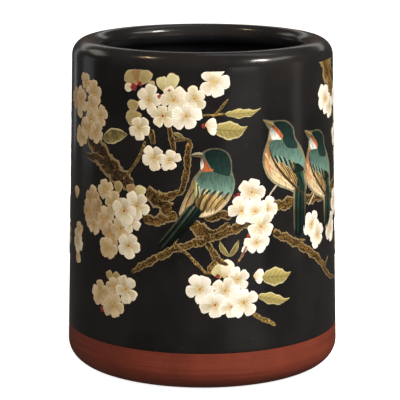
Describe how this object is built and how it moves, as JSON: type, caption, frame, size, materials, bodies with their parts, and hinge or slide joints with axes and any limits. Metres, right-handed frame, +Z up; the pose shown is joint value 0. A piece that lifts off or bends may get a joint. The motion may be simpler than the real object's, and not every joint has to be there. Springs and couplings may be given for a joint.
{
  "type": "brush holder pot",
  "caption": "Round stoneware pot that holds brushes upright, with a rolled rim, glossy black glaze, a bare clay foot and an enamel print of blossom and birds.",
  "frame": {"origin": "centre of the foot, on the surface the pot stands on", "axes": "+Z up along the pot's axis, towards the mouth; -Y towards the front of the print"},
  "size_m": [0.0956, 0.0956, 0.114],
  "materials": {
    "clay": "unglazed, satin",
    "black_glaze": "high gloss",
    "liner_glaze": "high gloss",
    "enamel_bark": "semi-gloss",
    "enamel_olive": "semi-gloss",
    "enamel_cream": "semi-gloss",
    "enamel_plumage": "semi-gloss"
  },
  "bodies": {
    "root": {"clay_body": "clay", "outer_glaze": "black_glaze", "inner_glaze": "liner_glaze", "trunk_left": "enamel_bark", "stem_middle": "enamel_bark", "branch_middle": "enamel_bark", "branch_low": "enamel_bark", "branch_perch": "enamel_bark", "branch_arch": "enamel_bark", "trunk_right": "enamel_bark", "leaf_upper_left": "enamel_olive", "leaves_top": "enamel_olive", "leaves_low": "enamel_olive", "blossoms_upper_left": "enamel_cream", "blossoms_top": "enamel_cream", "blossoms_pair": "enamel_cream", "blossoms_left": "enamel_cream", "blossoms_far_left": "enamel_cream", "blossoms_low_left": "enamel_cream", "blossoms_low": "enamel_cream", "blossoms_centre": "enamel_cream", "blossoms_right": "enamel_cream", "blossoms_upper_right": "enamel_cream", "blossoms_side": "enamel_cream", "bird_left": "enamel_plumage", "bird_middle": "enamel_plumage", "bird_right": "enamel_plumage"}
  },
  "joints": []
}
